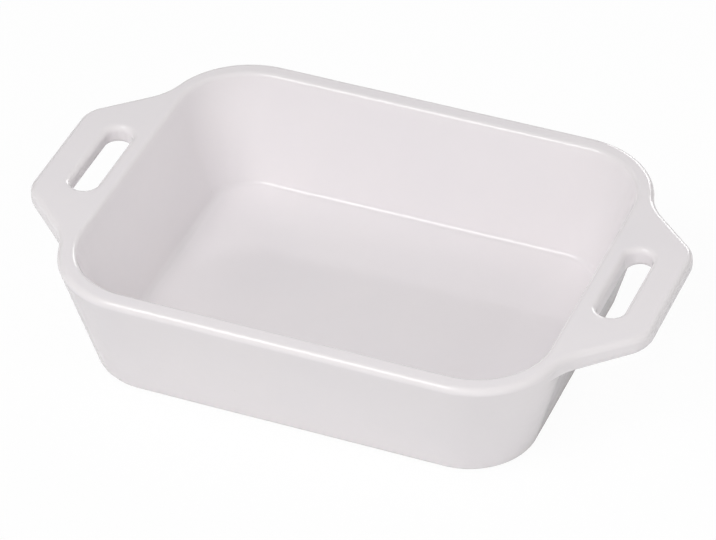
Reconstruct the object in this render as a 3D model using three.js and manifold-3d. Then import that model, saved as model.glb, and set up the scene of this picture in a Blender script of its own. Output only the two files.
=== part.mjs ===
// A glazed stoneware roasting dish with a plate handle at each end.
// Millimetres, +Z up. The origin is under the middle of the dish, on the surface that it stands on,
// and the handles lie along X.
//
// The pieces are those of the potter's bench: a moulded basin, two handles luted to flat faces on it,
// and the coats of glaze, which leave only the foot ring bare.

import * as THREE from "three";
import { mergeVertices } from "three/addons/utils/BufferGeometryUtils.js";
import Module from "manifold-3d";

const wasm = await Module();
wasm.setup();

// Overall sizes, over the glaze
const BODY_LENGTH = 198.6; // outside of the rim, without the handles
const BODY_WIDTH = 162;
const HEIGHT = 49.1;
const CORNER_RADIUS = 35; // corners of the rim, in plan
const BASE_CORNER_RADIUS = 26; // the same corners where they meet the table
const WALL_DRAFT = 15.1; // degrees by which the outside leans out
const BASE_EDGE_RADIUS = 3;

// Rim and inside
const RIM_WIDTH = 7.4; // along the sides, from the outside to where the inner wall would cut the top
const END_RIM_WIDTH = 6.2; // the same at the ends
const RIM_OUTER_RADIUS = 2.4;
const RIM_INNER_RADIUS = 2.2;
const INNER_DRAFT = 16; // degrees by which the inside leans out along the sides
const END_DRAFT = 17.5; // the same at the ends
const INNER_CORNER_RADIUS = 29;
const FLOOR_CORNER_RADIUS = 17;
const FLOOR_HEIGHT = 5.1; // top of the cooking floor above the table
const FLOOR_FILLET = 2.8;

// Foot ring
const FOOT_WIDTH = 5;
const RECESS_DEPTH = 0.8; // the glazed base stands this far off the table
const RECESS_RUN = 1.5; // width of the slope from the foot up to the base

// Handles
const HANDLE_REACH = 24.8; // beyond the end of the rim
const HANDLE_EDGE = 42; // straight length of the outer edge
const HANDLE_CORNER_RADIUS = 13;
const HANDLE_SIDE_ANGLE = 47.4; // degrees between a side and the outer edge's normal
const HANDLE_BLEND_RADIUS = 24.7; // hollow curve from a side into the corner of the rim
const HANDLE_THICKNESS = 7.6;
const HANDLE_UNDER_RADIUS = 3.2;
const HANDLE_ROOT_RADIUS = 3; // fillet between the underside and the wall

// Finger slots
const SLOT_OFFSET = 6.2; // middle of the slot beyond the end of the rim
const SLOT_LENGTH = 41.4;
const SLOT_WIDTH = 10.6;
const SLOT_EDGE_RADIUS = 2.4;
const LUTE_MARGIN = 1; // from the rounded edge of the slot to the face where the handle is luted on

// Glaze
const GLAZE = 0.5; // thickness of the coat
const HAIRLINE = 0.1; // clearance between the coat and the clay under it
const GLAZE_LINE = 1; // height at which the coat was wiped off the foot

// Facets
const HANDLE_CORNER_STEPS = 3;
const BLEND_STEPS = 4;
const CORNER_STEPS = 8;
const EDGE_STEPS = 3;
const SLOT_END_STEPS = 8;

const RIM_HALF_LENGTH = BODY_LENGTH / 2;
const RIM_HALF_WIDTH = BODY_WIDTH / 2;
const HANDLE_TIP = RIM_HALF_LENGTH + HANDLE_REACH;
const HANDLE_BOTTOM = HEIGHT - HANDLE_THICKNESS;
const SLOT_MIDDLE = RIM_HALF_LENGTH + SLOT_OFFSET;
const LUTE_PLANE = SLOT_MIDDLE - SLOT_WIDTH / 2 - SLOT_EDGE_RADIUS - LUTE_MARGIN;
const CLAY = GLAZE + HAIRLINE; // depth of the clay's surface under the glazed one
const BEYOND = BODY_LENGTH; // reach of the cutting blocks, past everything

const radians = THREE.MathUtils.degToRad;
const lerp = THREE.MathUtils.lerp;
const draft = radians(WALL_DRAFT);
const innerDraft = radians(INNER_DRAFT);
const endDraft = radians(END_DRAFT);
const innerRounding = RIM_INNER_RADIUS * Math.tan((Math.PI / 2 - innerDraft) / 2);

// Angles from one to another, both included.
function sweep(from, to, steps) {
  return Array.from({ length: steps + 1 }, (_, i) => lerp(from, to, i / steps));
}

function arc(centre, radius, from, to, steps) {
  return sweep(from, to, steps).map(
    (t) => new THREE.Vector2(centre.x + radius * Math.cos(t), centre.y + radius * Math.sin(t)),
  );
}

// The whole outline from its first quarter, which runs from the +X axis round to the +Y axis.
function fourQuarters(quarter) {
  const turned = (sx, sy) => quarter.map((p) => new THREE.Vector2(p.x * sx, p.y * sy));
  return [
    ...turned(1, 1),
    ...turned(-1, 1).reverse().slice(1),
    ...turned(-1, -1).slice(1),
    ...turned(1, -1).reverse().slice(1, -1),
  ];
}

// Where the hollow blend of a handle's side leaves the corner of a level section of the dish.
// The blend touches the slanted side and, from outside, the corner's arc.
function handleBlend(section, inset) {
  const side = radians(HANDLE_SIDE_ANGLE);
  const along = new THREE.Vector2(-Math.sin(side), Math.cos(side));
  const outward = new THREE.Vector2(Math.cos(side), Math.sin(side));
  const tipCentre = new THREE.Vector2(HANDLE_TIP - HANDLE_CORNER_RADIUS, HANDLE_EDGE / 2);
  const corner = new THREE.Vector2(section.a - section.r, section.b - section.r);
  const radius = HANDLE_BLEND_RADIUS + inset;
  const start = tipCentre.clone().addScaledVector(outward, HANDLE_CORNER_RADIUS + HANDLE_BLEND_RADIUS);
  const gap = start.clone().sub(corner);
  const half = gap.dot(along);
  const run = -half - Math.sqrt(half * half - gap.lengthSq() + (radius + section.r) ** 2);
  const centre = start.clone().addScaledVector(along, run);
  const leave = Math.atan2(centre.y - corner.y, centre.x - corner.x);
  return { side, tipCentre, corner, centre, radius, leave };
}

// First quarter of the outline that takes in the handle. The handle's own edge is drawn in by inset.
function handledQuarter(section, inset) {
  const blend = handleBlend(section, inset);
  const tipRadius = HANDLE_CORNER_RADIUS - inset;
  return [
    new THREE.Vector2(HANDLE_TIP - inset, 0),
    ...arc(blend.tipCentre, tipRadius, 0, blend.side, HANDLE_CORNER_STEPS),
    ...arc(blend.centre, blend.radius, Math.PI + blend.side, Math.PI + blend.leave, BLEND_STEPS),
    ...arc(blend.corner, section.r, blend.leave, Math.PI / 2, CORNER_STEPS).slice(1),
    new THREE.Vector2(0, section.b),
  ];
}

// First quarter of a plain rounded rectangle, with its points where the handled outline has its own:
// those on the handle are spread along the end and the start of the corner.
function panQuarter(section, leave) {
  const corner = new THREE.Vector2(section.a - section.r, section.b - section.r);
  const straight = corner.y - HANDLE_EDGE / 2;
  const spread = sweep(0, straight + section.r * leave, HANDLE_CORNER_STEPS + BLEND_STEPS + 1);
  const end = spread.map((run) => {
    if (run <= straight) {
      return new THREE.Vector2(section.a, HANDLE_EDGE / 2 + run);
    }
    return arc(corner, section.r, (run - straight) / section.r, 0, 1)[0];
  });
  return [
    new THREE.Vector2(section.a, 0),
    ...end,
    ...arc(corner, section.r, leave, Math.PI / 2, CORNER_STEPS).slice(1),
    new THREE.Vector2(0, section.b),
  ];
}

// Height at which the rim's outer rounding, drawn in by depth, runs into the wall.
function rimTangentHeight(depth) {
  return HEIGHT - RIM_OUTER_RADIUS - (RIM_OUTER_RADIUS - depth) * Math.sin(draft);
}

// Level section of the outer wall, drawn in by depth below the glazed surface.
function wallSection(z, depth) {
  const top = rimTangentHeight(0);
  const lean = RIM_OUTER_RADIUS * (1 - Math.cos(draft)) + (top - z) * Math.tan(draft);
  const inset = lean + depth / Math.cos(draft);
  const radius = lerp(BASE_CORNER_RADIUS, CORNER_RADIUS, z / top);
  return { a: RIM_HALF_LENGTH - inset, b: RIM_HALF_WIDTH - inset, r: radius - depth };
}

// A section drawn in all round, with its corners on the same centres.
function drawnIn(section, inset) {
  return { a: section.a - inset, b: section.b - inset, r: section.r - inset };
}

const rimSection = { a: RIM_HALF_LENGTH, b: RIM_HALF_WIDTH, r: CORNER_RADIUS };
const rimLeave = handleBlend(rimSection, 0).leave;

function panRing(section, z) {
  return { points: fourQuarters(panQuarter(section, rimLeave)), z };
}

function between(from, to, share) {
  return from.map((p, i) => p.clone().lerp(to[i], share(i)));
}

// Middle of the rounding where the outer wall turns into the foot ring.
function footSection() {
  const tangentHeight = BASE_EDGE_RADIUS * (1 - Math.sin(draft));
  return drawnIn(wallSection(tangentHeight, 0), BASE_EDGE_RADIUS * Math.cos(draft));
}

// Rounded lower edge of the wall, from the foot ring up. It keeps its height under the glaze,
// so that the bare clay stands on the table.
function baseEdgeRings(depth) {
  const foot = footSection();
  return sweep(-Math.PI / 2, -draft, EDGE_STEPS).map((t) =>
    panRing(
      drawnIn(foot, (depth - BASE_EDGE_RADIUS) * Math.cos(t)),
      BASE_EDGE_RADIUS * (1 + Math.sin(t)),
    ),
  );
}

// Fillet at the handle's root: the wall's outline moves out towards the handle's, by a share of the way.
function handleRootRings(depth) {
  const reach = HANDLE_TIP - wallSection(HANDLE_BOTTOM, 0).a;
  const radius = HANDLE_ROOT_RADIUS + depth;
  return sweep(0, Math.PI / 2, EDGE_STEPS - 1).map((t) => {
    const z = HANDLE_BOTTOM - HANDLE_ROOT_RADIUS + radius * Math.sin(t);
    const section = wallSection(z, depth);
    const share = (radius * (1 - Math.cos(t))) / reach;
    const pan = panQuarter(section, handleBlend(section, depth).leave);
    return { points: fourQuarters(between(pan, handledQuarter(section, depth), () => share)), z };
  });
}

// Rounded lower edge of the handles. It dies out along the blends, where the plain wall takes over.
function handleUnderRings(depth) {
  const firstOfBlend = HANDLE_CORNER_STEPS + 2;
  const share = (i) => THREE.MathUtils.clamp(1 - (i - firstOfBlend) / BLEND_STEPS, 0, 1);
  return sweep(Math.PI / 2, 0, EDGE_STEPS - 1).map((t) => {
    const radius = HANDLE_UNDER_RADIUS - depth;
    const z = HANDLE_BOTTOM + HANDLE_UNDER_RADIUS - radius * Math.sin(t);
    const section = wallSection(z, depth);
    const plain = handledQuarter(section, depth);
    const rounded = handledQuarter(section, HANDLE_UNDER_RADIUS - radius * Math.cos(t));
    return { points: fourQuarters(between(plain, rounded, share)), z };
  });
}

// Outer rounding of the rim and of the handles' top edge, from the drafted wall up to the flat top.
function rimOuterRings(depth) {
  const radius = RIM_OUTER_RADIUS - depth;
  const low = rimTangentHeight(depth);
  const wall = { points: fourQuarters(handledQuarter(wallSection(low, depth), depth)), z: low };
  const rounding = sweep(0, Math.PI / 2, EDGE_STEPS).map((t) => {
    const inset = RIM_OUTER_RADIUS - radius * Math.cos(t);
    const points = fourQuarters(handledQuarter(drawnIn(rimSection, inset), inset));
    return { points, z: HEIGHT - RIM_OUTER_RADIUS + radius * Math.sin(t) };
  });
  return [wall, ...rounding];
}

// Inner rounding of the rim, from the flat top down to the inner wall.
function rimInnerRings(depth) {
  const opening = {
    a: RIM_HALF_LENGTH - END_RIM_WIDTH,
    b: RIM_HALF_WIDTH - RIM_WIDTH,
    r: INNER_CORNER_RADIUS,
  };
  const radius = RIM_INNER_RADIUS - depth;
  return sweep(Math.PI / 2, innerDraft, EDGE_STEPS).map((t) =>
    panRing(
      drawnIn(opening, radius * Math.cos(t) - innerRounding),
      HEIGHT - RIM_INNER_RADIUS + radius * Math.sin(t),
    ),
  );
}

// Fillet between the inner wall and the floor.
function floorRings(depth) {
  const deep = HEIGHT - FLOOR_HEIGHT;
  const floor = {
    a: RIM_HALF_LENGTH - END_RIM_WIDTH - deep * Math.tan(endDraft),
    b: RIM_HALF_WIDTH - RIM_WIDTH - deep * Math.tan(innerDraft),
    r: FLOOR_CORNER_RADIUS,
  };
  const centre = FLOOR_FILLET / Math.cos(innerDraft) - FLOOR_FILLET * Math.tan(innerDraft);
  const radius = FLOOR_FILLET + depth;
  return sweep(innerDraft, Math.PI / 2, EDGE_STEPS).map((t) =>
    panRing(
      drawnIn(floor, centre - radius * Math.cos(t)),
      FLOOR_HEIGHT + FLOOR_FILLET - radius * Math.sin(t),
    ),
  );
}

// Sloped recess inside the foot ring, from its flat top down to the foot.
function recessRings(depth) {
  const inner = drawnIn(footSection(), FOOT_WIDTH);
  return [
    panRing(drawnIn(inner, RECESS_RUN), RECESS_DEPTH + depth),
    panRing(inner, 0),
  ];
}

// Closed skin through rings of equally many points, each end closed by a fan round its middle.
function loft(rings) {
  const count = rings[0].points.length;
  const first = rings[0];
  const last = rings[rings.length - 1];
  const middle = (ring) => {
    const sum = ring.points.reduce((s, p) => s.add(p), new THREE.Vector2());
    return [sum.x / count, sum.y / count, ring.z];
  };
  const positions = rings.flatMap((ring) => ring.points.flatMap((p) => [p.x, p.y, ring.z]));
  const bottom = rings.length * count;
  positions.push(...middle(first), ...middle(last));
  const index = [];
  for (let i = 0; i < count; i += 1) {
    const next = (i + 1) % count;
    for (let k = 0; k < rings.length - 1; k += 1) {
      const low = k * count;
      const high = low + count;
      index.push(low + i, low + next, high + next, low + i, high + next, high + i);
    }
    const top = (rings.length - 1) * count;
    index.push(bottom, next, i, bottom + 1, top + i, top + next);
  }
  const geometry = new THREE.BufferGeometry();
  geometry.setAttribute("position", new THREE.Float32BufferAttribute(positions, 3));
  geometry.setIndex(index);
  return geometry;
}

// Geometry as a solid for joining and cutting. Where rings meet in a line, the flattened faces go.
function solid(geometry) {
  geometry.deleteAttribute("normal");
  geometry.deleteAttribute("uv");
  const merged = mergeVertices(geometry, 1e-4);
  const kept = [];
  for (let i = 0; i < merged.index.count; i += 3) {
    const [a, b, c] = [0, 1, 2].map((k) => merged.index.getX(i + k));
    if (a !== b && b !== c && c !== a) {
      kept.push(a, b, c);
    }
  }
  const vertProperties = new Float32Array(merged.attributes.position.array);
  return new wasm.Manifold(new wasm.Mesh({ numProp: 3, vertProperties, triVerts: new Uint32Array(kept) }));
}

function geometryOf(made) {
  const mesh = made.getMesh();
  const geometry = new THREE.BufferGeometry();
  geometry.setAttribute("position", new THREE.BufferAttribute(mesh.vertProperties, 3));
  geometry.setIndex(new THREE.BufferAttribute(mesh.triVerts, 1));
  const faceted = geometry.toNonIndexed();
  faceted.computeVertexNormals();
  return faceted;
}

// Block from one x to another, and from a height up.
function block(fromX, toX, fromZ) {
  const box = new THREE.BoxGeometry(toX - fromX, 2 * BEYOND, BEYOND);
  return solid(box.translate((fromX + toX) / 2, 0, fromZ + BEYOND / 2));
}

// The dish above its foot, drawn in by depth below the glazed surface, with no slots.
function dish(depth, footRings) {
  return solid(
    loft([
      ...footRings,
      ...baseEdgeRings(depth),
      ...handleRootRings(depth),
      ...handleUnderRings(depth),
      ...rimOuterRings(depth),
      ...rimInnerRings(depth),
      ...floorRings(depth),
    ]),
  );
}

// What a finger slot takes away: a long round-ended hole, rounded out at both faces of the handle.
function slotCore(side, depth) {
  const radius = SLOT_EDGE_RADIUS - depth;
  const clear = SLOT_EDGE_RADIUS;
  const ringAt = (outset, z) => {
    const round = SLOT_WIDTH / 2 + outset;
    const y = (SLOT_LENGTH - SLOT_WIDTH) / 2;
    const x = side * SLOT_MIDDLE;
    return {
      points: [
        ...arc(new THREE.Vector2(x, y), round, 0, Math.PI, SLOT_END_STEPS),
        ...arc(new THREE.Vector2(x, -y), round, Math.PI, 2 * Math.PI, SLOT_END_STEPS),
      ],
      z,
    };
  };
  const upper = sweep(0, Math.PI / 2, EDGE_STEPS).map((t) =>
    ringAt(SLOT_EDGE_RADIUS - radius * Math.cos(t), HEIGHT - SLOT_EDGE_RADIUS + radius * Math.sin(t)),
  );
  const lower = sweep(Math.PI / 2, 0, EDGE_STEPS).map((t) =>
    ringAt(SLOT_EDGE_RADIUS - radius * Math.cos(t), HANDLE_BOTTOM + SLOT_EDGE_RADIUS - radius * Math.sin(t)),
  );
  return solid(
    loft([
      ringAt(SLOT_EDGE_RADIUS, HANDLE_BOTTOM - clear),
      ...lower,
      ...upper,
      ringAt(SLOT_EDGE_RADIUS, HEIGHT + clear),
    ]),
  );
}

// Thin coat of glaze on the recessed base.
function baseCoat() {
  const section = drawnIn(footSection(), FOOT_WIDTH + RECESS_RUN);
  return solid(
    loft([
      panRing(drawnIn(section, GLAZE), RECESS_DEPTH),
      panRing(section, RECESS_DEPTH + GLAZE / 2),
      panRing(section, RECESS_DEPTH + GLAZE),
    ]),
  );
}

const clay = new THREE.MeshStandardMaterial({ color: 0xd9d2c6, roughness: 0.85, metalness: 0 });
const glaze = new THREE.MeshStandardMaterial({ color: 0xe3dedf, roughness: 0.12, metalness: 0 });

const roastingDish = new THREE.Group();

function addPiece(name, made, material) {
  const mesh = new THREE.Mesh(geometryOf(made), material.clone());
  mesh.name = name;
  roastingDish.add(mesh);
}

const clayForm = dish(CLAY, recessRings(CLAY));
const glazedForm = dish(0, []);
const glazeBed = dish(GLAZE, [panRing(drawnIn(footSection(), GLAZE), -GLAZE)]);

const basinBlock = block(-LUTE_PLANE, LUTE_PLANE, -GLAZE);
const glazedBlock = block(-LUTE_PLANE, LUTE_PLANE, GLAZE_LINE);
addPiece("basin", clayForm.intersect(basinBlock), clay);
addPiece("basin_glaze", glazedForm.intersect(glazedBlock).subtract(glazeBed), glaze);
addPiece("base_glaze", baseCoat(), glaze);

for (const [name, side] of [["left_handle", -1], ["right_handle", 1]]) {
  const ends = [side * LUTE_PLANE, side * BEYOND].sort((a, b) => a - b);
  const handleBlock = block(ends[0], ends[1], 0);
  const handleClay = clayForm.intersect(handleBlock).subtract(slotCore(side, CLAY));
  const handleBed = glazeBed.subtract(slotCore(side, GLAZE));
  const handleCoat = glazedForm.intersect(handleBlock).subtract(slotCore(side, 0)).subtract(handleBed);
  addPiece(name, handleClay, clay);
  addPiece(`${name}_glaze`, handleCoat, glaze);
}

export default roastingDish;
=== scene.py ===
import math
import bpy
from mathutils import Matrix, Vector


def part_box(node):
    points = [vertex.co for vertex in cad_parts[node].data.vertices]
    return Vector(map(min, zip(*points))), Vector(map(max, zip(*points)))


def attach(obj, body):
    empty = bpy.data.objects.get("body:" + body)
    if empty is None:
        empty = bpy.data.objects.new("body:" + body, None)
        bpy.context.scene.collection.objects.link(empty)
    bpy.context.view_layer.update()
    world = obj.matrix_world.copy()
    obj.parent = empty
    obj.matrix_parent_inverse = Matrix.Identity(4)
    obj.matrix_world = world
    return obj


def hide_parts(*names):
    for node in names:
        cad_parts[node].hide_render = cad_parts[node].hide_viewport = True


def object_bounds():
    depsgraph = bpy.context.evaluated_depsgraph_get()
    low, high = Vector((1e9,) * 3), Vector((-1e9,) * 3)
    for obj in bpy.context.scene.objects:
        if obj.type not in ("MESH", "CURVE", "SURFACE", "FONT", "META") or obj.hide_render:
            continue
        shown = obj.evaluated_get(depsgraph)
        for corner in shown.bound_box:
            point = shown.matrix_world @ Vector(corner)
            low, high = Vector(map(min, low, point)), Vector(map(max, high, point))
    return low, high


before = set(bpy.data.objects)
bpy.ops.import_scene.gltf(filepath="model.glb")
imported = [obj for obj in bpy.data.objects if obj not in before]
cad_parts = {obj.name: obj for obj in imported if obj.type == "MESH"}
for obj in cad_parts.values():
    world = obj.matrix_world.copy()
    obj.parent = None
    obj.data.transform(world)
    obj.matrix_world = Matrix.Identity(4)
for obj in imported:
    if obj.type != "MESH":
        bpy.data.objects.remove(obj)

from types import SimpleNamespace

import bpy
import numpy as np
from mathutils import Matrix, Vector

bl_info = {
    "name": "Glazed roasting dish",
    "version": (1, 0, 0),
    "blender": (4, 5, 0),
    "location": "View3D > Sidebar > Dish",
    "description": "Dresses a stoneware roasting dish: white glaze, bare foot and a plain studio",
    "category": "Object",
}

CAD_BOX = [[float(v) for v in corner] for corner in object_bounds()]
CAD_SIZE = [high - low for low, high in zip(*CAD_BOX)]
BODY = "root"

# Columns in a quarter of the outline: the handle's outer edge, its corner, its straight side,
# the hollow blend, the corner of the dish and half of a long side.
EDGE_COLUMNS = 20
TIP_COLUMNS = 10
SIDE_COLUMNS = 6
BLEND_COLUMNS = 14
CORNER_COLUMNS = 24
LONG_COLUMNS = 12
LONG_EASE = 1.6  # crowds the columns of a long side towards its corner
HANDLE_COLUMNS = EDGE_COLUMNS + TIP_COLUMNS + SIDE_COLUMNS + BLEND_COLUMNS
SLOT_COLUMNS = EDGE_COLUMNS + TIP_COLUMNS

# Rows of the coat, from the glaze line on the foot over the rim down to the floor.
FOOT_ROWS = 5
WALL_ROWS = 14
UNDER_EDGE_ROWS = 8
HANDLE_SIDE_ROWS = 4
RIM_LEAN_ROWS = 4
RIM_ROWS = 11
INSIDE_ROWS = 14
FILLET_ROWS = 13
FLOOR_ROWS = 13

# Rows round a finger slot: its window in the grid, the way to its edge, its rounded edges and its wall.
SLOT_ROWS = 9
SLOT_WINDOW = 0.65  # how far out under a handle the rows reach that a slot takes its window from
PATCH_ROWS = 6
SLOT_ROUND_ROWS = 9
SLOT_WALL_ROWS = 4
SLOT_PINCH = 0.43  # how much narrower the lower rounding of a slot is on the side of the wall

# Rows of the clay and of the island of glaze, which the coat and the table hide for the most part.
CLAY_ROWS = 6
CLAY_FOOT_ROWS = 9
BEAD_ROWS = 8
BASE_ROWS = 12
BASE_BACK_ROWS = 4

ROOT_POWER = 5  # how fast the hollow under a handle flattens out
PROFILE_SAMPLES = 400  # points of the profile under a handle from which a height is read
NUDGE = 0.001  # step between two outlines that gives the way out of a corner
WELD_SCALE = 1e7  # points that agree to a tenth of a micrometre are one

# Glaze: the lip at its lower edge, as depth under the surface and rise over the glaze line, in coats.
LIP = ((0.7, 0.1), (0.2, -0.12))
LINE_WAVER = 0.12  # share of its height by which the glaze line rises and falls
INNER_THINNESS = 0.8  # glaze drawn off the inner edges, where 1 is that off the outer ones
BEAD = 0.0016  # width of the rounded edge of the island of glaze
RAGGED = 0.0005  # how far that edge is drawn in
RAGGED_WAVER = 0.00035  # and by how much it varies
RAGGED_PITCH = 1.7  # how much quicker it varies than the glaze line

# Slope of the clay from the base to the foot: shares of its run and of its height.
RECESS_RUN = np.array([1.0, 0.85, 0.15, 0.0])
RECESS_RISE = np.array([1.0, 0.95, 0.06, 0.0])

# Slow waves of a dipped coat: their number, lengths and gain, and a seed for each use.
WAVES = 7
WAVE_SHORTEST = 0.019
WAVE_LONGEST = 0.047
WAVE_GAIN = 1.9
LINE_SEED = 5
COAT_SEED = 11
BASE_SEED = 23

# Studio: the floor, and the lamps with direction, distance, size, power and whether the glaze mirrors them.
FLOOR_HALF = 4.0
FLOOR_CELLS = 8
PAPER_WHITE = 0.95  # share of the paper's own white to the eye
EVEN_LIGHT = 0.03  # strength of the light from all round
LAMP_AIM = (0.0, 0.0, 0.03)
LAMPS = (
    ("key_softbox", (-0.287, -0.513, 0.809), 1.3, 0.60, 5.3, True),
    ("back_softbox", (0.02, 0.94, 0.34), 1.5, 0.55, 4.2, True),
    ("top_softbox", (0.35, -0.30, 0.88), 0.8, 0.50, 1.25, False),
    ("front_panel", (-0.10, -0.70, 0.70), 2.2, 1.6, 16.3, False),
    ("left_panel", (-0.90, -0.25, 0.40), 2.2, 1.6, 6.9, False),
    ("right_panel", (0.90, -0.25, 0.40), 2.2, 1.6, 13.2, False),
    ("rear_panel", (0.15, 0.90, 0.40), 2.2, 1.6, 8.7, False),
    ("rear_left_panel", (-0.80, 0.50, 0.30), 2.2, 1.6, 5.0, False),
)

# Camera: angles in degrees, lengths in metres, the sensor in millimetres, and the focal length and the
# picture's width in pixels.
CAMERA_AZIMUTH = 22.104
CAMERA_ELEVATION = 37.980
CAMERA_ROLL = -0.438
CAMERA_PAN = -0.009
CAMERA_TILT = 0.004
CAMERA_AIM = (0.0, 0.0, 0.02455)
CAMERA_DISTANCE = 1.65
CAMERA_CLIP = 100.0
SENSOR = 36.0
FOCAL_PIXELS = 4369.948
PICTURE_PIXELS = 716.0


def length(name, description, default):
    """A property that holds a length in metres."""
    return bpy.props.FloatProperty(
        name=name,
        description=description,
        default=default,
        min=0.0,
        precision=5,
        subtype="DISTANCE",
        unit="LENGTH",
    )


def angle(name, description, degrees):
    """A property that holds an angle, given here in degrees."""
    return bpy.props.FloatProperty(
        name=name, description=description, default=math.radians(degrees), subtype="ANGLE", unit="ROTATION"
    )


def share(name, description, default):
    """A property that holds a share from 0 to 1."""
    return bpy.props.FloatProperty(
        name=name, description=description, default=default, min=0.0, max=1.0, subtype="FACTOR"
    )


def tone(name, description, default):
    """A property that holds a linear colour."""
    return bpy.props.FloatVectorProperty(
        name=name, description=description, default=default, min=0.0, max=1.0, size=3, subtype="COLOR"
    )


class DishSizes(bpy.types.PropertyGroup):
    """Sizes over the glaze."""

    span: length("Span", "Length over both handles", CAD_SIZE[0])
    width: length("Width", "Outside of the rim across the dish", CAD_SIZE[1])
    height: length("Height", "Table to the top of the rim", CAD_SIZE[2])
    body: length("Body length", "Outside of the rim without the handles", 0.1986)
    corner: length("Corner", "Radius of the rim's corners in plan", 0.035)
    base_corner: length("Base corner", "The same corners at the table", 0.026)
    draft: angle("Draft", "Lean of the outer wall", 15.1)
    base_edge: length("Base edge", "Rounding between wall and foot", 0.003)
    rim: length("Rim", "Width of the rim along the sides, up to the inner wall", 0.0074)
    rim_end: length("End rim", "Width of the rim at the ends, up to the inner wall", 0.0062)
    rim_outer: length("Outer rounding", "Rounding outside the rim", 0.0024)
    rim_inner: length("Inner rounding", "Rounding inside the rim", 0.0022)
    inner_draft: angle("Inner draft", "Lean of the inner wall along the sides", 16.0)
    end_draft: angle("End draft", "Lean of the inner wall at the ends", 17.5)
    inner_corner: length("Inner corner", "Radius of the opening's corners", 0.029)
    floor_corner: length("Floor corner", "Radius of the floor's corners", 0.017)
    floor: length("Floor", "Height of the cooking floor", 0.0051)
    floor_fillet: length("Floor fillet", "Fillet between wall and floor", 0.0028)
    foot: length("Foot", "Width of the foot ring", 0.005)
    recess: length("Recess", "Height of the base above the table", 0.0008)
    recess_run: length("Recess run", "Slope from the foot to the base", 0.0015)
    handle_edge: length("Handle edge", "Straight part of a handle's outer edge", 0.042)
    handle_corner: length("Handle corner", "Radius of a handle's outer corners", 0.013)
    handle_side: angle("Handle side", "Turn from the outer edge to a side", 47.4)
    handle_blend: length("Handle blend", "Hollow curve from a side into the rim", 0.0247)
    handle: length("Handle thickness", "Thickness of a handle", 0.0076)
    handle_root: length("Root", "Height of the hollow under a handle", 0.003)
    handle_under: length("Lower edge", "Rounding of a handle's lower edge", 0.0032)
    slot_offset: length("Slot offset", "Middle of a slot beyond the rim's end", 0.0062)
    slot_length: length("Slot length", "Length of a finger slot", 0.0414)
    slot_width: length("Slot width", "Width of a finger slot", 0.0106)
    slot_edge: length("Slot edge", "Rounding of a slot's edges", 0.0024)
    coat: length("Glaze", "Thickness of the glaze", 0.0005)
    hairline: length("Hairline", "Gap between glaze and clay", 0.0001)
    glaze_line: length("Glaze line", "Height to which the foot is wiped bare", 0.001)
    luted_face: length("Luted face", "Where the handles meet the basin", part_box("basin")[1].x)
    sway: length("Sway", "Depth of the slow waves of a hand-dipped coat", 0.00008)


class DishFinish(bpy.types.PropertyGroup):
    """Colours of the glaze, the clay and the studio."""

    glaze: tone("Glaze", "White glaze where it lies thick", (0.862, 0.826, 0.838))
    glaze_cool: tone("Pooled glaze", "Slow drift of the glaze's colour", (0.848, 0.815, 0.832))
    glaze_thin: tone("Thin glaze", "Glaze drawn thin over edges", (0.868, 0.835, 0.842))
    speck: tone("Specks", "Pinholes and specks in the glaze", (0.50, 0.44, 0.40))
    gloss: share("Glaze roughness", "Roughness of the fired glaze", 0.09)
    clay: tone("Clay", "Bare fired clay", (0.69, 0.64, 0.56))
    clay_dark: tone("Dark clay", "Darker grain of the clay", (0.52, 0.46, 0.38))
    iron: tone("Iron specks", "Specks of iron in the clay", (0.22, 0.14, 0.09))
    floor: tone("Studio floor", "Pale paper under the dish", (0.90, 0.90, 0.90))


def sizes():
    """The sizes as plain numbers, with those that follow from them."""
    group = bpy.context.scene.dish_sizes
    s = SimpleNamespace(**{name: getattr(group, name) for name in DishSizes.__annotations__})
    s.tip = s.span / 2
    s.half = s.body / 2
    s.side = s.width / 2
    s.under = s.height - s.handle
    s.clay = s.coat + s.hairline
    s.rim_foot = s.height - s.rim_outer * (1 + math.sin(s.draft))
    s.rim_lean = s.rim_outer * (1 - math.cos(s.draft))
    s.rounding_run = s.rim_inner * math.tan((math.pi / 2 - s.inner_draft) / 2)
    s.slot_middle = s.half + s.slot_offset
    s.edge_share = s.handle_under / (s.tip - wall_section(s, s.under)[0])
    return s


def steps(count, ease=1.0):
    """Shares from 0 to 1. An ease above 1 crowds them towards 0."""
    return np.linspace(0.0, 1.0, count + 1) ** ease


def column(values):
    """Numbers as a column, one row for each ring."""
    return np.atleast_1d(np.asarray(values, float)).reshape(-1, 1)


def smooth(t):
    """Cubic step: rises from 0 to 1 and is level at both ends."""
    return t * t * (3 - 2 * t)


def blend_of(s, a, b, r, inset):
    """Centre of the hollow blend and the angle at which it leaves the corner's arc.

    The blend's circle touches the slanted side of the handle, and from outside the circle of radius r
    about (a - r, b - r). Its centre lies on a line parallel to the side, where its distance from the
    corner's centre is the sum of both radii: a quadratic equation.
    """
    along = (-math.sin(s.handle_side), math.cos(s.handle_side))
    outward = (math.cos(s.handle_side), math.sin(s.handle_side))
    reach = s.handle_corner + s.handle_blend
    start_x = s.tip - s.handle_corner + outward[0] * reach
    start_y = s.handle_edge / 2 + outward[1] * reach
    gap_x = start_x - (a - r)
    gap_y = start_y - (b - r)
    half = gap_x * along[0] + gap_y * along[1]
    run = -half - np.sqrt(half**2 - gap_x**2 - gap_y**2 + (s.handle_blend + inset + r) ** 2)
    x = start_x + along[0] * run
    y = start_y + along[1] * run
    return x, y, np.arctan2(y - (b - r), x - (a - r))


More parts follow.
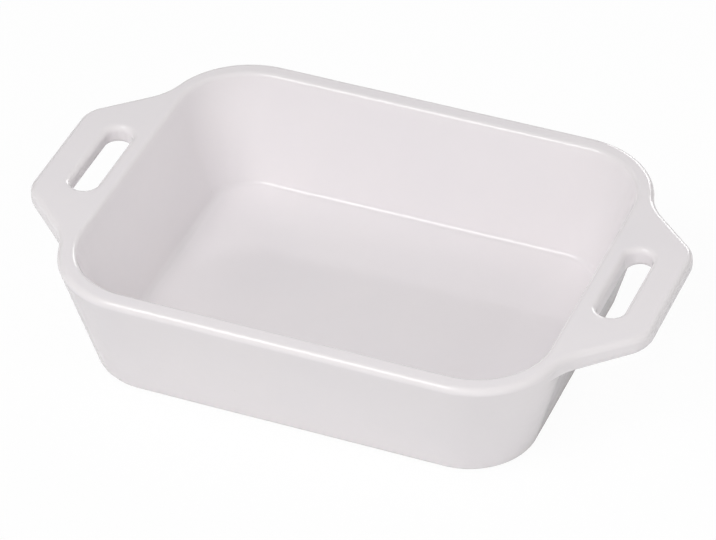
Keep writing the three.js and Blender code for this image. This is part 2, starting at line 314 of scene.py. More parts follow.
def corner_and_side(a, b, r, leave):
    """The rest of a quarter: the arc from the angle where it is left, and half of a long side."""
    turn = leave + (math.pi / 2 - leave) * steps(CORNER_COLUMNS)[1:]
    run = (a - r) * (1 - steps(LONG_COLUMNS, LONG_EASE)[1:])
    x = np.concatenate([a - r + r * np.cos(turn), run], axis=1)
    y = np.concatenate([b - r + r * np.sin(turn), np.broadcast_to(b, run.shape)], axis=1)
    return x, y


def handled_quarter(s, a, b, r, inset):
    """First quarter of outlines that take in a handle.

    It runs along the handle's edge, corner arc, side and hollow blend, and then along the dish. Each ring
    is a level section with half sizes a and b and corner radius r. The handle's edge is drawn in by inset,
    so its convex arcs shrink and its hollow ones grow about fixed centres.
    """
    a, b, r, inset = (column(v) for v in np.broadcast_arrays(*map(np.atleast_1d, (a, b, r, inset))))
    blend_x, blend_y, leave = blend_of(s, a, b, r, inset)
    tip_x = s.tip - s.handle_corner
    tip_y = s.handle_edge / 2
    edge_y = np.broadcast_to(tip_y * steps(EDGE_COLUMNS)[:-1], (len(a), EDGE_COLUMNS))
    edge_x = np.broadcast_to(s.tip - inset, edge_y.shape)
    turn = s.handle_side * steps(TIP_COLUMNS)
    arc_x = tip_x + (s.handle_corner - inset) * np.cos(turn)
    arc_y = tip_y + (s.handle_corner - inset) * np.sin(turn)
    hollow = math.pi + s.handle_side + (leave - s.handle_side) * steps(BLEND_COLUMNS)
    hollow_x = blend_x + (s.handle_blend + inset) * np.cos(hollow)
    hollow_y = blend_y + (s.handle_blend + inset) * np.sin(hollow)
    t = steps(SIDE_COLUMNS)[1:-1]
    side_x = arc_x[:, -1:] + (hollow_x[:, :1] - arc_x[:, -1:]) * t
    side_y = arc_y[:, -1:] + (hollow_y[:, :1] - arc_y[:, -1:]) * t
    rest_x, rest_y = corner_and_side(a, b, r, leave)
    x = np.concatenate([edge_x, arc_x, side_x, hollow_x, rest_x], axis=1)
    y = np.concatenate([edge_y, arc_y, side_y, hollow_y, rest_y], axis=1)
    return np.stack([x, y], axis=2)


def plain_quarter(s, a, b, r, leave=None):
    """First quarter of rounded rectangles, with as many columns as the handled outline.

    Columns of the handle lie straight inwards of it: those level with the rim's end keep their share of
    the end's straight part, and the others their angle on the corner's arc.
    """
    a, b, r = (column(v) for v in np.broadcast_arrays(*map(np.atleast_1d, (a, b, r))))
    rim = handled_quarter(s, s.half, s.side, s.corner, 0.0)[0, : HANDLE_COLUMNS + 1, 1]
    rim_leave = blend_of(s, s.half, s.side, s.corner, 0.0)[2]
    leave = column(rim_leave if leave is None else leave)
    straight = s.side - s.corner
    level = np.minimum(rim / straight, 1.0)
    turn = np.arcsin(np.clip((rim - straight) / s.corner, 0.0, 1.0)) * leave / rim_leave
    end_x = a - r + r * np.cos(turn)
    end_y = (b - r) * level + r * np.sin(turn)
    rest_x, rest_y = corner_and_side(a, b, r, leave)
    x = np.concatenate([end_x, rest_x], axis=1)
    y = np.concatenate([end_y, rest_y], axis=1)
    return np.stack([x, y], axis=2)


def whole(quarter):
    """Whole outlines from first quarters, mirrored in both axes."""
    return np.concatenate(
        [
            quarter,
            (quarter * (-1, 1))[:, -2::-1],
            (quarter * (-1, -1))[:, 1:],
            (quarter * (1, -1))[:, -2:0:-1],
        ],
        axis=1,
    )


def rings(outlines, heights):
    """Points of rings from plan outlines and a height for each ring or each point."""
    z = np.broadcast_to(np.asarray(heights, float).reshape(len(outlines), -1), outlines.shape[:2])
    return np.concatenate([outlines, z[:, :, None]], axis=2)


def wall_section(s, z, depth=0.0):
    """Half sizes and corner radius of the leaning outer wall at a height, and so far under its surface."""
    inset = s.rim_lean + (s.rim_foot - z) * math.tan(s.draft) + depth / math.cos(s.draft)
    radius = s.base_corner + (s.corner - s.rim_lean - s.base_corner) * z / s.rim_foot
    return s.half - inset, s.side - inset, radius - depth


def foot_section(s):
    """Middle line of the rounding between the wall and the foot ring."""
    a, b, r = wall_section(s, s.base_edge * (1 - math.sin(s.draft)))
    inset = s.base_edge * math.cos(s.draft)
    return a - inset, b - inset, r - inset


def outline_and_outward(s, a, b, r, step):
    """A plain outline, and for each point the way out to the outline a step outside it."""
    middle = whole(plain_quarter(s, a, b, r))
    beyond = whole(plain_quarter(s, a + step, b + step, r + step))
    return middle, (beyond - middle) / step


def base_edge_rings(s, t, depth):
    """Rounded lower edge of the wall: an arc about the foot's middle line, through the angles t.

    t holds one row of angles for each ring, one angle for each column. The arc keeps its height under
    the glaze, so that bare clay stands on the table.
    """
    out = (s.base_edge - depth) * np.cos(t)
    middle, outward = outline_and_outward(s, *foot_section(s), NUDGE)
    return rings(middle + outward * out[:, :, None], s.base_edge * (1 + np.sin(t)))


def under_profile(s, t):
    """How the wall turns out under a handle: the share of the way out, and the height.

    The share is a cubic step of t. The height climbs out of a hollow root as the fifth power of 1 - t,
    runs level, and ends in a quarter round at the handle's lower edge. Where the handle dies out, so does
    the ledge.
    """
    out = smooth(t)
    turned = np.clip(1 - (1 - out) / s.edge_share, 0.0, 1.0)
    rounding = s.handle_under * (1 - np.sqrt(1 - turned**2))
    return out, s.under - s.handle_root * (1 - t) ** ROOT_POWER + rounding


def under_rows(s):
    """Values of t for the rows under a handle.

    They are even as far as the slot's window, and then take even turns round the lower edge. These last
    ones come from their share of the way out, by the inverse of the cubic step.
    """
    turn = np.linspace(0.0, math.pi / 2, UNDER_EDGE_ROWS)
    out = 1 - s.edge_share * (1 - np.sin(turn))
    rounding = 0.5 - np.sin(np.arcsin(1 - 2 * out) / 3)
    return np.concatenate([SLOT_WINDOW * steps(SLOT_ROWS), rounding])


def under_rings(s, t):
    """Rings that lead from the plain wall out to the handles' outline."""
    out, z = under_profile(s, t)
    a, b, r = wall_section(s, z)
    leave = blend_of(s, a, b, r, 0.0)[2]
    plain = plain_quarter(s, a, b, r, leave)
    handled = handled_quarter(s, a, b, r, 0.0)
    return rings(whole(plain + (handled - plain) * out[:, None, None]), z)


def rim_outer_rings(s, t, depth=0.0, handles=True):
    """Quarter round outside the rim, from the wall's lean up to the flat top, and along the handles' edge."""
    radius = s.rim_outer - depth
    inset = s.rim_outer - radius * np.cos(t)
    a, b, r = s.half - inset, s.side - inset, s.corner - inset
    if handles:
        outlines = handled_quarter(s, a, b, r, np.where(t < 0, 0.0, inset))
    else:
        outlines = plain_quarter(s, a, b, r)
    return rings(whole(outlines), s.height - s.rim_outer + radius * np.sin(t))


def rim_inner_rings(s, t, depth=0.0):
    """Quarter round inside the rim, from the flat top down to the lean of the inner wall."""
    radius = s.rim_inner - depth
    inset = radius * np.cos(t) - s.rounding_run
    outlines = plain_quarter(s, s.half - s.rim_end - inset, s.side - s.rim - inset, s.inner_corner - inset)
    return rings(whole(outlines), s.height - s.rim_inner + radius * np.sin(t))


def floor_rings(s, t, depth=0.0):
    """Fillet from the inner wall's lean round to the level floor."""
    deep = s.height - s.floor
    a = s.half - s.rim_end - deep * math.tan(s.end_draft)
    b = s.side - s.rim - deep * math.tan(s.inner_draft)
    middle = s.floor_fillet / math.cos(s.inner_draft) - s.floor_fillet * math.tan(s.inner_draft)
    radius = s.floor_fillet + depth
    inset = middle - radius * np.cos(t)
    outlines = plain_quarter(s, a - inset, b - inset, s.floor_corner - inset)
    return rings(whole(outlines), s.floor + s.floor_fillet - radius * np.sin(t))


def level_rings(ring, count):
    """A level face inside a ring: the ring shrinks towards the middle line that runs along the dish.

    A point's distance from the middle line falls in proportion, and its distance from the short axis falls
    by as much as the ring's half width does, so the last ring is a line and front and back close on it.
    """
    left = 1 - steps(count)[1:, None]
    half_width = ring[:, 1].max()
    half_length = ring[:, 0].max()
    x = ring[None, :, 0] * (1 - half_width / half_length * (1 - left))
    y = ring[None, :, 1] * left
    return np.stack([x, y, np.broadcast_to(ring[None, :, 2], x.shape)], axis=2)


def between(first, last, count):
    """Straight rings between two rings, both left out."""
    t = steps(count)[1:-1, None, None]
    return first[None] * (1 - t) + last[None] * t


def grid_faces(rows, columns, start=0):
    """Corner numbers of the quads of a grid whose columns close on themselves."""
    here = np.arange(columns)
    after = (here + 1) % columns
    low = start + columns * np.arange(rows - 1)[:, None]
    return np.stack([low + here, low + after, low + columns + after, low + columns + here], axis=2)


def slot_outline(s):
    """Round-ended slot as points' centres and outward directions, from its inner lower corner up and round.

    The four stretches are the inner side, the end at +Y, the outer side and the end at -Y. Each side takes
    in an eighth of a turn at both ends, and the points of a stretch are evenly spaced.
    """
    straight = (s.slot_length - s.slot_width) / 2
    eighth = math.pi / 8 * s.slot_width
    run = np.linspace(-straight - eighth, straight + eighth, 2 * SLOT_COLUMNS + 1)[:-1]
    beyond = np.maximum(np.abs(run) - straight, 0.0) * 2 / s.slot_width * np.sign(run)
    middle = np.clip(run, -straight, straight)
    cap = math.pi / 4 + math.pi / 2 * steps(SLOT_ROWS)[:-1]
    turn = np.concatenate([math.pi - beyond, math.pi - cap, -beyond, -cap])
    end = np.full(SLOT_ROWS, straight)
    centre = np.concatenate([middle, end, -middle, -end])
    return centre, np.cos(turn), np.sin(turn)


def underside_height(s, x, y):
    """Height of a handle's underside at a place in plan, from the inverse of the profile under the handle."""
    t = np.linspace(0.0, 1.0, PROFILE_SAMPLES)
    out, z = under_profile(s, t)
    wall = wall_section(s, z)[0]
    reach = (wall + (s.tip - wall) * out - wall[0]) / (s.tip - wall[0])
    past = np.clip(np.abs(y) - s.handle_edge / 2, 0.0, s.handle_corner)
    edge = s.tip - s.handle_corner + np.sqrt(s.handle_corner**2 - past**2)
    return np.interp((x - wall[0]) / (edge - wall[0]), reach, z)


def slot_grid(s, low_loop, high_loop, rows):
    """Surface round a finger slot, from the loop on the underside, through the slot, to the loop on top.

    On the underside it moves straight in plan from the loop to the slot's lower edge and keeps to the
    handle's own underside. The slot's edges are quarter rounds, and the lower one is narrow towards the wall.
    On top it moves straight out to the loop in the level face.
    """
    centre, nx, ny = slot_outline(s)
    half = s.slot_width / 2

    def slot_rings(outset, z):
        x = s.slot_middle + (half + outset) * nx
        y = centre + (half + outset) * ny
        return np.stack(np.broadcast_arrays(x, y, z), axis=-1)

    spread = s.slot_edge * (1 - SLOT_PINCH * np.maximum(-nx, 0.0) ** 2)
    foot = slot_rings(spread, 0.0)
    foot_z = underside_height(s, foot[:, 0], foot[:, 1])
    foot[:, 2] = foot_z
    shares = steps(rows)[1:-1, None, None]
    below = low_loop[None] * (1 - shares) + foot[None] * shares
    below[:, :, 2] = underside_height(s, below[:, :, 0], below[:, :, 1])
    turn = np.linspace(0.0, math.pi / 2, SLOT_ROUND_ROWS)[:, None]
    upper = slot_rings(s.slot_edge * (1 - np.cos(turn)), s.height - s.slot_edge * (1 - np.sin(turn)))
    turn = turn[-2::-1]
    lower = slot_rings(spread * (1 - np.cos(turn)), foot_z + s.slot_edge * (1 - np.sin(turn)))
    walls = between(lower[-1], upper[0], SLOT_WALL_ROWS)
    above = between(upper[-1], high_loop, rows)
    return np.concatenate(
        [low_loop[None], below, foot[None], lower, walls, upper, above, high_loop[None]]
    )


def window_loop(grid, inner, outer, centre):
    """Loop round the window that a slot takes from the rows between two rings of the grid."""
    count = grid.shape[1]
    span = np.arange(-SLOT_COLUMNS, SLOT_COLUMNS + 1) + centre
    way = np.sign(outer - inner)
    across = np.arange(inner, outer, way)
    return np.concatenate(
        [
            grid[inner, span[:-1] % count],
            grid[across, span[-1] % count],
            grid[outer, span[:0:-1] % count],
            grid[across[::-1] + way, span[0] % count],
        ]
    )


def welded(points, quads):
    """Points merged where they coincide, and the faces that still have at least three corners."""
    keys = np.round(points * WELD_SCALE).astype(np.int64)
    _, first, where = np.unique(keys, axis=0, return_index=True, return_inverse=True)
    corners = where.reshape(-1)[quads.reshape(-1, 4)]
    same = corners == np.roll(corners, -1, axis=1)
    twisted = (corners[:, 0] == corners[:, 2]) | (corners[:, 1] == corners[:, 3])
    whole_quads = corners[~same.any(axis=1) & ~twisted]
    pinched = (same.sum(axis=1) == 1) & ~twisted
    return first, whole_quads, corners[pinched][~same[pinched]].reshape(-1, 3)


def make_piece(name, points, quads, material, replaced, attributes=()):
    """A smooth mesh piece from a welded surface. It rides on the dish and stands for CAD nodes."""
    first, fours, threes = welded(points, quads)
    mesh = bpy.data.meshes.new(name)
    mesh.from_pydata(points[first].tolist(), [], fours.tolist() + threes.tolist())
    mesh.validate()
    for key, values in attributes:
        layer = mesh.attributes.new(key, "FLOAT", "POINT")
        layer.data.foreach_set("value", np.asarray(values, np.float32)[first])
    mesh.shade_smooth()
    mesh.materials.append(material)
    piece = bpy.data.objects.new(name, mesh)
    bpy.context.scene.collection.objects.link(piece)
    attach(piece, BODY)
    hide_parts(*replaced)
    return piece


def waves(points, seed):
    """Slow waves from -1 to 1: the mean of sines along fixed slanted directions, softly limited."""
    rng = np.random.default_rng(seed)
    ways = rng.normal(size=(3, WAVES))
    ways /= np.linalg.norm(ways, axis=0)
    wavelengths = np.linspace(WAVE_SHORTEST, WAVE_LONGEST, WAVES)
    phases = rng.uniform(0.0, 2 * math.pi, WAVES)
    swings = np.sin(points @ (ways / wavelengths) * 2 * math.pi + phases)
    return np.tanh(WAVE_GAIN * swings.mean(axis=1))


def sway(mesh, depth, seed):
    """Moves each point inwards along its normal, by up to depth, as the slow waves go."""
    count = len(mesh.vertices)
    points = np.empty(count * 3)
    normals = np.empty(count * 3)
    mesh.vertices.foreach_get("co", points)
    mesh.vertex_normals.foreach_get("vector", normals)
    points = points.reshape(-1, 3)
    points = points - normals.reshape(-1, 3) * depth * (0.5 + 0.5 * waves(points, seed))[:, None]
    mesh.vertices.foreach_set("co", points.reshape(-1))
    mesh.update()


def node(tree, kind, values=(), **settings):
    """A new shader node with its settings, and the values of its unlinked sockets."""
    made = tree.nodes.new(kind)
    for key, value in settings.items():
        setattr(made, key, value)
    for key, value in dict(values).items():
        made.inputs[key].default_value = value
    return made


def rgba(colour):
    """A property's colour with full alpha."""
    return (*colour, 1.0)


def mixed(tree, factor, first, second):
    """Colour output that goes from first to second by a factor. Each is a socket or a fixed value."""
    made = node(tree, "ShaderNodeMix", data_type="RGBA")
    for socket, value in ((made.inputs[0], factor), (made.inputs[6], first), (made.inputs[7], second)):
        if isinstance(value, bpy.types.NodeSocket):
            tree.links.new(value, socket)
        else:
            socket.default_value = value
    return made.outputs[2]


def ranged(tree, value, low, high, out_low=0.0, out_high=1.0):
    """A value carried from one range to another, kept inside it."""
    made = node(
        tree,
        "ShaderNodeMapRange",
        {"From Min": low, "From Max": high, "To Min": out_low, "To Max": out_high},
    )
    tree.links.new(value, made.inputs["Value"])
    return made.outputs["Result"]


def noise(tree, place, scale, detail=2.0, roughness=0.5, distortion=0.0):
    """Noise on the piece's own coordinates, with features about one over scale metres across."""
    made = node(
        tree,
        "ShaderNodeTexNoise",
        {"Scale": scale, "Detail": detail, "Roughness": roughness, "Distortion": distortion},
    )
    tree.links.new(place, made.inputs["Vector"])
    return made.outputs["Fac"]


def bumped(tree, height, strength, distance, before=None):
    """Normal of a surface whose height varies so much, over another bump where one is given."""
    made = node(tree, "ShaderNodeBump", {"Strength": strength, "Distance": distance})
    tree.links.new(height, made.inputs["Height"])
    if before is not None:
        tree.links.new(before, made.inputs["Normal"])
    return made.outputs["Normal"]


def surface(name):
    """A new material with its tree, its shader and the piece's own coordinates."""
    material = bpy.data.materials.new(name)
    material.use_nodes = True
    tree = material.node_tree
    shader = tree.nodes["Principled BSDF"]
    place = node(tree, "ShaderNodeTexCoord").outputs["Object"]
    return material, tree, shader, place


def glaze_finish():
    """White glaze: a slow drift of tone, thinner over edges, rare pinholes and a faint orange peel."""
    look = bpy.context.scene.dish_finish
    found = bpy.data.materials.get("white_glaze_fired")
    if found:
        return found
    material, tree, shader, place = surface("white_glaze_fired")
    slow = noise(tree, place, scale=21.0, detail=3.0, roughness=0.55, distortion=0.4)
    drift = ranged(tree, slow, low=0.32, high=0.68)
    colour = mixed(tree, drift, rgba(look.glaze), rgba(look.glaze_cool))
    thin = node(tree, "ShaderNodeAttribute", attribute_name="thin").outputs["Fac"]
    colour = mixed(tree, thin, colour, rgba(look.glaze_thin))
    cells = node(tree, "ShaderNodeTexVoronoi", {"Scale": 150.0, "Randomness": 1.0})
    tree.links.new(place, cells.inputs["Vector"])
    near = ranged(tree, cells.outputs["Distance"], low=0.03, high=0.06, out_low=1.0, out_high=0.0)
    chosen = node(tree, "ShaderNodeSeparateColor")
    tree.links.new(cells.outputs["Color"], chosen.inputs["Color"])
    rare = ranged(tree, chosen.outputs["Red"], low=0.955, high=0.965, out_high=0.3)
    pinhole = node(tree, "ShaderNodeMath", operation="MULTIPLY")
    tree.links.new(near, pinhole.inputs[0])
    tree.links.new(rare, pinhole.inputs[1])
    colour = mixed(tree, pinhole.outputs["Value"], colour, rgba(look.speck))
    tree.links.new(colour, shader.inputs["Base Color"])
    grain = noise(tree, place, scale=60.0, detail=2.0)
    rough = ranged(tree, grain, 0.3, 0.7, out_low=look.gloss - 0.03, out_high=look.gloss + 0.04)
    tree.links.new(rough, shader.inputs["Roughness"])
    peel = bumped(tree, noise(tree, place, scale=260.0, detail=1.0), strength=0.10, distance=0.0004)
    pits = bumped(tree, pinhole.outputs["Value"], strength=-0.25, distance=0.0003, before=peel)
    tree.links.new(pits, shader.inputs["Normal"])
    shader.inputs["IOR"].default_value = 1.52
    return material


def clay_finish():
    """Bare fired clay: warm buff with darker grain, specks of iron and a dry, gritty surface."""
    look = bpy.context.scene.dish_finish
    found = bpy.data.materials.get("bare_stoneware")
    if found:
        return found
    material, tree, shader, place = surface("bare_stoneware")
    fine = noise(tree, place, scale=190.0, detail=5.0, roughness=0.65)
    grain = ranged(tree, fine, low=0.35, high=0.7)
    colour = mixed(tree, grain, rgba(look.clay), rgba(look.clay_dark))
    broad = ranged(tree, noise(tree, place, scale=24.0, detail=2.0), low=0.35, high=0.65, out_high=0.5)
    colour = mixed(tree, broad, colour, rgba(look.clay))
    cells = node(tree, "ShaderNodeTexVoronoi", {"Scale": 420.0, "Randomness": 1.0})
    tree.links.new(place, cells.inputs["Vector"])
    specks = ranged(tree, cells.outputs["Distance"], low=0.07, high=0.13, out_low=0.8, out_high=0.0)
    colour = mixed(tree, specks, colour, rgba(look.iron))
    tree.links.new(colour, shader.inputs["Base Color"])
    rough = ranged(tree, grain, low=0.0, high=1.0, out_low=0.78, out_high=0.92)
    tree.links.new(rough, shader.inputs["Roughness"])
    sand = noise(tree, place, scale=900.0, detail=3.0, roughness=0.6)
    grit = bumped(tree, sand, strength=0.35, distance=0.0003)
    pits = bumped(tree, specks, strength=-0.2, distance=0.0002, before=grit)
    tree.links.new(pits, shader.inputs["Normal"])
    shader.inputs["Specular IOR Level"].default_value = 0.25
    return material


class DISH_OT_glaze_coat(bpy.types.Operator):
    """Make the coat of white glaze over the basin and both handles"""

    bl_idname = "dish.glaze_coat"
    bl_label = "Glaze coat"
    bl_options = {"REGISTER", "UNDO"}

    def execute(self, context):
        s = sizes()
        grid, starts, thinness = self.rows(s)
        columns = grid.shape[1]
        quads = grid_faces(len(grid), columns)
        low_inner = starts["under"]
        low_outer = low_inner + SLOT_ROWS
        high_outer = starts["land"] - 1
        high_inner = starts["inner"]
        kept = np.ones(quads.shape[:2], bool)
        points = [grid.reshape(-1, 3)]
        faces = []
        thin = [np.repeat(thinness, columns)]
        for centre, turn in ((0, 1.0), (columns // 2, -1.0)):
            window = np.arange(centre - SLOT_COLUMNS, centre + SLOT_COLUMNS) % columns
            kept[low_inner:low_outer, window] = False
            kept[high_outer:high_inner, window] = False
            facing = np.array([turn, turn, 1.0])
            low_loop = window_loop(grid, low_inner, low_outer, centre) * facing
            high_loop = window_loop(grid, high_inner, high_outer, centre) * facing
            patch = slot_grid(s, low_loop, high_loop, PATCH_ROWS) * facing
            faces.append(grid_faces(len(patch), patch.shape[1], sum(len(p) for p in points)))
            points.append(patch.reshape(-1, 3))
            thin.append(np.repeat(self.slot_thinness(len(patch)), patch.shape[1]))
        faces.append(quads[kept])
        coat = make_piece(
            "glaze_coat",
            np.concatenate(points),
            np.concatenate([f.reshape(-1, 4) for f in faces]),
            glaze_finish(),
            ("basin_glaze", "left_handle_glaze", "right_handle_glaze"),
            [("thin", np.concatenate(thin))],
        )
        sway(coat.data, s.sway, COAT_SEED)
        thickness = coat.modifiers.new("coat", "SOLIDIFY")
        thickness.thickness = s.coat
        thickness.offset = -1.0
        return {"FINISHED"}

    def rows(self, s):
        """All rings of the outer skin, the row where each part of it starts, and how thin each ring is."""
        plan = whole(plain_quarter(s, *foot_section(s)))[0]
        waver = waves(np.column_stack([plan, np.zeros(len(plan))]), LINE_SEED)
        line = s.glaze_line * (1 + LINE_WAVER * waver)
        low = np.arcsin(line / s.base_edge - 1)
        lips = np.concatenate([base_edge_rings(s, low[None], s.coat * depth) for depth, _ in LIP])
        lips[:, :, 2] = line + s.coat * column([rise for _, rise in LIP])
        edge = base_edge_rings(s, low + (-s.draft - low) * steps(FOOT_ROWS)[:, None], 0.0)
        wall_foot = s.base_edge * (1 - math.sin(s.draft))
        wall_z = np.linspace(wall_foot, s.under - s.handle_root, WALL_ROWS)[1:-1]
        wall = rings(whole(plain_quarter(s, *wall_section(s, wall_z))), wall_z)
        under = under_rings(s, under_rows(s))
        side_z = np.linspace(s.under + s.handle_under, s.rim_foot, HANDLE_SIDE_ROWS)[1:-1]
        side = rings(whole(handled_quarter(s, *wall_section(s, side_z), 0.0)), side_z)
        lean_t = np.linspace(-s.draft, 0.0, RIM_LEAN_ROWS)
        outer_t = np.concatenate([lean_t, np.linspace(0.0, math.pi / 2, RIM_ROWS)[1:]])
        outer = rim_outer_rings(s, outer_t)
        inner_t = np.linspace(math.pi / 2, s.inner_draft, RIM_ROWS)
        inner = rim_inner_rings(s, inner_t)
        land = between(outer[-1], inner[0], SLOT_ROWS)
        fillet = floor_rings(s, np.linspace(s.inner_draft, math.pi / 2, FILLET_ROWS))
        inside = between(inner[-1], fillet[0], INSIDE_ROWS)
        floor = level_rings(fillet[-1], FLOOR_ROWS)
        parts = {
            "lips": lips,
            "edge": edge,
            "wall": wall,
            "under": under,
            "side": side,
            "outer": outer,
            "land": land,
            "inner": inner,
            "inside": inside,
            "fillet": fillet,
            "floor": floor,
        }
        starts = dict(zip(parts, np.cumsum([0] + [len(part) for part in parts.values()])))
        grid = np.concatenate(list(parts.values()))
        thinness = np.zeros(len(grid))
        thinness[starts["outer"] : starts["land"]] = np.sin(2 * np.maximum(outer_t, 0.0))
        thinness[starts["inner"] : starts["inside"]] = np.sin(2 * inner_t) * INNER_THINNESS
        return grid, starts, thinness

    def slot_thinness(self, count):
        """How thin the glaze is on each ring round a slot: drawn off both of its rounded edges."""
        thinness = np.zeros(count)
        arch = np.sin(np.linspace(0.0, math.pi, SLOT_ROUND_ROWS))
        lower = PATCH_ROWS
        upper = lower + SLOT_ROUND_ROWS + SLOT_WALL_ROWS - 1
        thinness[lower : lower + SLOT_ROUND_ROWS] = arch * INNER_THINNESS
        thinness[upper : upper + SLOT_ROUND_ROWS] = arch
        return thinness


class DISH_OT_stoneware(bpy.types.Operator):
    """Make the stoneware basin with its bare foot, and give the handles' clay its finish"""

    bl_idname = "dish.stoneware"
    bl_label = "Stoneware"
    bl_options = {"REGISTER", "UNDO"}

    def execute(self, context):
        s = sizes()
        a, b, r = foot_section(s)
        columns = 4 * (HANDLE_COLUMNS + CORNER_COLUMNS + LONG_COLUMNS)
        inset = s.foot + s.recess_run * RECESS_RUN
        recess_z = (s.recess + s.clay) * RECESS_RISE
        recess = rings(whole(plain_quarter(s, a - inset, b - inset, r - inset)), recess_z)
        flat = rings(whole(plain_quarter(s, a - s.foot / 2, b - s.foot / 2, r - s.foot / 2)), [0.0])
        t = np.linspace(-math.pi / 2, -s.draft, CLAY_FOOT_ROWS)
        edge = base_edge_rings(s, np.broadcast_to(t[:, None], (len(t), columns)), s.clay)
        wall_z = np.linspace(s.base_edge, s.rim_foot, CLAY_ROWS)[1:-1]
        wall = rings(whole(plain_quarter(s, *wall_section(s, wall_z, s.clay))), wall_z)
        outer_t = np.linspace(-s.draft, math.pi / 2, CLAY_ROWS)
        outer = rim_outer_rings(s, outer_t, s.clay, handles=False)
        inner_t = np.linspace(math.pi / 2, s.inner_draft, CLAY_ROWS)
        inner = rim_inner_rings(s, inner_t, s.clay)
        fillet = floor_rings(s, inner_t[::-1], s.clay)
        base = level_rings(recess[0], CLAY_ROWS)[::-1]
        floor = level_rings(fillet[-1], CLAY_ROWS)
        grid = np.concatenate([base, recess, flat, edge, wall, outer, inner, fillet, floor])
        grid[:, :, 0] = np.clip(grid[:, :, 0], -s.luted_face, s.luted_face)
        make_piece(
            "stoneware_basin",
            grid.reshape(-1, 3),
            grid_faces(len(grid), columns),
            clay_finish(),
            ("basin",),
        )
        for name in ("left_handle", "right_handle"):
            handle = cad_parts[name]
            handle.data.materials.clear()
            handle.data.materials.append(clay_finish())
        return {"FINISHED"}


class DISH_OT_base_glaze(bpy.types.Operator):
    """Make the island of glaze on the recessed base"""

    bl_idname = "dish.base_glaze"
    bl_label = "Base glaze"
    bl_options = {"REGISTER", "UNDO"}

    def execute(self, context):
        s = sizes()
        a, b, r = foot_section(s)
        plan = whole(plain_quarter(s, a, b, r))[0]
        pitch = np.column_stack([plan * RAGGED_PITCH, np.zeros(len(plan))])
        ragged = RAGGED + RAGGED_WAVER * waves(pitch, BASE_SEED)
        inset = s.foot + s.recess_run + BEAD
        middle, outward = outline_and_outward(s, a - inset, b - inset, r - inset, BEAD)
        t = np.linspace(0.0, math.pi / 2, BEAD_ROWS)
        out = BEAD * np.cos(t)[:, None] - ragged[None]
        z = s.recess + s.coat * (1 - np.sin(t))
        edge = rings(middle + outward * out[:, :, None], z)
        face = level_rings(edge[-1], BASE_ROWS)
        back = level_rings(edge[0], BASE_BACK_ROWS)
        grid = np.concatenate([back[::-1], edge, face])[::-1]
        coat = make_piece(
            "base_glaze_coat",
            grid.reshape(-1, 3),
            grid_faces(len(grid), grid.shape[1]),
            glaze_finish(),
            ("base_glaze",),
        )
        coat.data.attributes.new("thin", "FLOAT", "POINT")
        return {"FINISHED"}


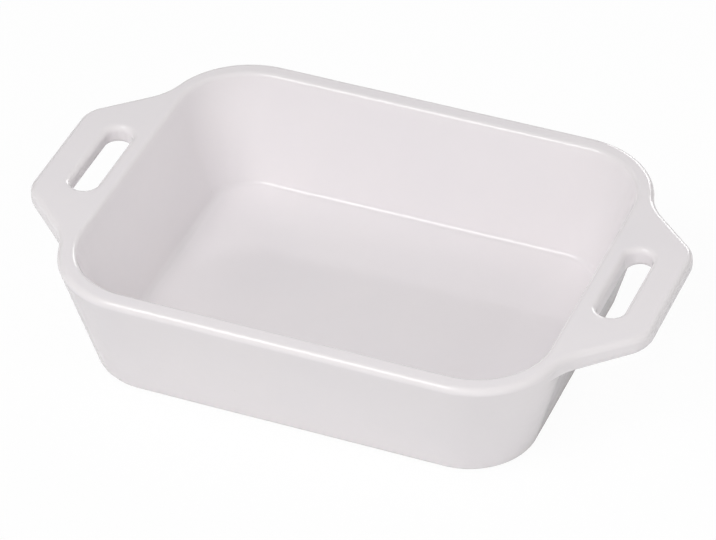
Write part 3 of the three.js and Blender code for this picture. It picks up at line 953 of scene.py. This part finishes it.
class DISH_OT_stage(bpy.types.Operator):
    """Make the pale floor, the soft lamps, the white surroundings and the camera"""

    bl_idname = "dish.stage"
    bl_label = "Stage"
    bl_options = {"REGISTER", "UNDO"}

    def execute(self, context):
        scene = context.scene
        scene.view_settings.view_transform = "Standard"
        floor_mesh = bpy.data.meshes.new("studio_floor")
        run = np.linspace(-FLOOR_HALF, FLOOR_HALF, FLOOR_CELLS + 1)
        u, v = np.meshgrid(run, run)
        points = np.stack([u, v, np.zeros_like(u)], axis=2).reshape(-1, 3)
        cell = np.arange(FLOOR_CELLS)
        corner = (cell[:, None] * len(run) + cell).reshape(-1, 1)
        floor_mesh.from_pydata(points.tolist(), [], (corner + [0, 1, len(run) + 1, len(run)]).tolist())
        floor = bpy.data.objects.new("studio_floor", floor_mesh)
        scene.collection.objects.link(floor)
        floor_mesh.materials.append(self.paper())
        self.surroundings(scene)
        for lamp in LAMPS:
            self.lamp(*lamp)
        self.camera(scene)
        return {"FINISHED"}

    def paper(self):
        """White paper: a pale floor that the lamps light, and to the eye mostly of its own white."""
        look = bpy.context.scene.dish_finish
        material = bpy.data.materials.new("studio_paper")
        material.use_nodes = True
        tree = material.node_tree
        tree.nodes.clear()
        lit = node(tree, "ShaderNodeBsdfDiffuse", {"Color": rgba(look.floor)})
        glow = node(tree, "ShaderNodeEmission", {"Color": (1.0, 1.0, 1.0, 1.0), "Strength": 1.0})
        blend = node(tree, "ShaderNodeMixShader")
        path = node(tree, "ShaderNodeLightPath")
        part = node(tree, "ShaderNodeMath", operation="MULTIPLY")
        part.inputs[1].default_value = PAPER_WHITE
        tree.links.new(path.outputs["Is Camera Ray"], part.inputs[0])
        tree.links.new(part.outputs["Value"], blend.inputs["Fac"])
        tree.links.new(lit.outputs["BSDF"], blend.inputs[1])
        tree.links.new(glow.outputs["Emission"], blend.inputs[2])
        out = node(tree, "ShaderNodeOutputMaterial")
        tree.links.new(blend.outputs["Shader"], out.inputs["Surface"])
        return material

    def surroundings(self, scene):
        """White to the eye, and a soft even light for the rest."""
        world = bpy.data.worlds.new("studio")
        scene.world = world
        world.use_nodes = True
        tree = world.node_tree
        tree.nodes.clear()
        even = node(tree, "ShaderNodeBackground", {"Color": (1.0, 1.0, 1.0, 1.0), "Strength": EVEN_LIGHT})
        white = node(tree, "ShaderNodeBackground", {"Color": (1.0, 1.0, 1.0, 1.0), "Strength": 1.0})
        blend = node(tree, "ShaderNodeMixShader")
        path = node(tree, "ShaderNodeLightPath")
        tree.links.new(path.outputs["Is Camera Ray"], blend.inputs["Fac"])
        tree.links.new(even.outputs["Background"], blend.inputs[1])
        tree.links.new(white.outputs["Background"], blend.inputs[2])
        out = node(tree, "ShaderNodeOutputWorld")
        tree.links.new(blend.outputs["Shader"], out.inputs["Surface"])

    def lamp(self, name, direction, distance, size, power, mirrored):
        """A square softbox that looks at the dish from a direction, and that the glaze mirrors or not."""
        light = bpy.data.lights.new(name, "AREA")
        light.shape = "SQUARE"
        light.size = size
        light.energy = power
        lamp = bpy.data.objects.new(name, light)
        way = Vector(direction).normalized()
        lamp.location = Vector(LAMP_AIM) + way * distance
        lamp.rotation_euler = way.to_track_quat("Z", "Y").to_euler()
        lamp.visible_glossy = mirrored
        bpy.context.scene.collection.objects.link(lamp)

    def camera(self, scene):
        """Long lens from the front right and above, at the distance and turn found from the outline."""
        azimuth = math.radians(CAMERA_AZIMUTH)
        elevation = math.radians(CAMERA_ELEVATION)
        roll, pan, tilt = (math.radians(v) for v in (CAMERA_ROLL, CAMERA_PAN, CAMERA_TILT))
        level = Vector((math.sin(azimuth), -math.cos(azimuth), 0.0))
        back = level * math.cos(elevation) + Vector((0.0, 0.0, math.sin(elevation)))
        right = Vector((math.cos(azimuth), math.sin(azimuth), 0.0))
        up = back.cross(right)
        forward = -back * math.cos(pan) + right * math.sin(pan)
        right = right * math.cos(pan) + back * math.sin(pan)
        up = up * math.cos(tilt) - forward * math.sin(tilt)
        forward = right.cross(up) * -1.0
        turned = right * math.cos(roll) + up * math.sin(roll)
        up = up * math.cos(roll) - right * math.sin(roll)
        data = bpy.data.cameras.new("studio_camera")
        data.sensor_fit = "HORIZONTAL"
        data.sensor_width = SENSOR
        data.lens = SENSOR * FOCAL_PIXELS / PICTURE_PIXELS
        data.clip_end = CAMERA_CLIP
        camera = bpy.data.objects.new("studio_camera", data)
        place = Vector(CAMERA_AIM) + back * CAMERA_DISTANCE
        turn = Matrix((turned, up, -forward)).transposed().to_4x4()
        camera.matrix_world = Matrix.Translation(place) @ turn
        scene.collection.objects.link(camera)
        scene.camera = camera


class DISH_PT_panel(bpy.types.Panel):
    """Steps and sizes of the dish"""

    bl_idname = "DISH_PT_panel"
    bl_label = "Roasting dish"
    bl_space_type = "VIEW_3D"
    bl_region_type = "UI"
    bl_category = "Dish"

    def draw(self, context):
        for operator in OPERATORS:
            self.layout.operator(operator.bl_idname)
        for group in (context.scene.dish_sizes, context.scene.dish_finish):
            box = self.layout.box()
            for name in type(group).__annotations__:
                box.prop(group, name)


OPERATORS = (DISH_OT_glaze_coat, DISH_OT_stoneware, DISH_OT_base_glaze, DISH_OT_stage)
CLASSES = (DishSizes, DishFinish, *OPERATORS, DISH_PT_panel)


def register():
    for made in CLASSES:
        bpy.utils.register_class(made)
    bpy.types.Scene.dish_sizes = bpy.props.PointerProperty(type=DishSizes)
    bpy.types.Scene.dish_finish = bpy.props.PointerProperty(type=DishFinish)


def unregister():
    del bpy.types.Scene.dish_finish
    del bpy.types.Scene.dish_sizes
    for made in reversed(CLASSES):
        bpy.utils.unregister_class(made)


def main():
    register()
    bpy.ops.dish.glaze_coat()
    bpy.ops.dish.stoneware()
    bpy.ops.dish.base_glaze()
    bpy.ops.dish.stage()


if __name__ == "__main__":
    main()
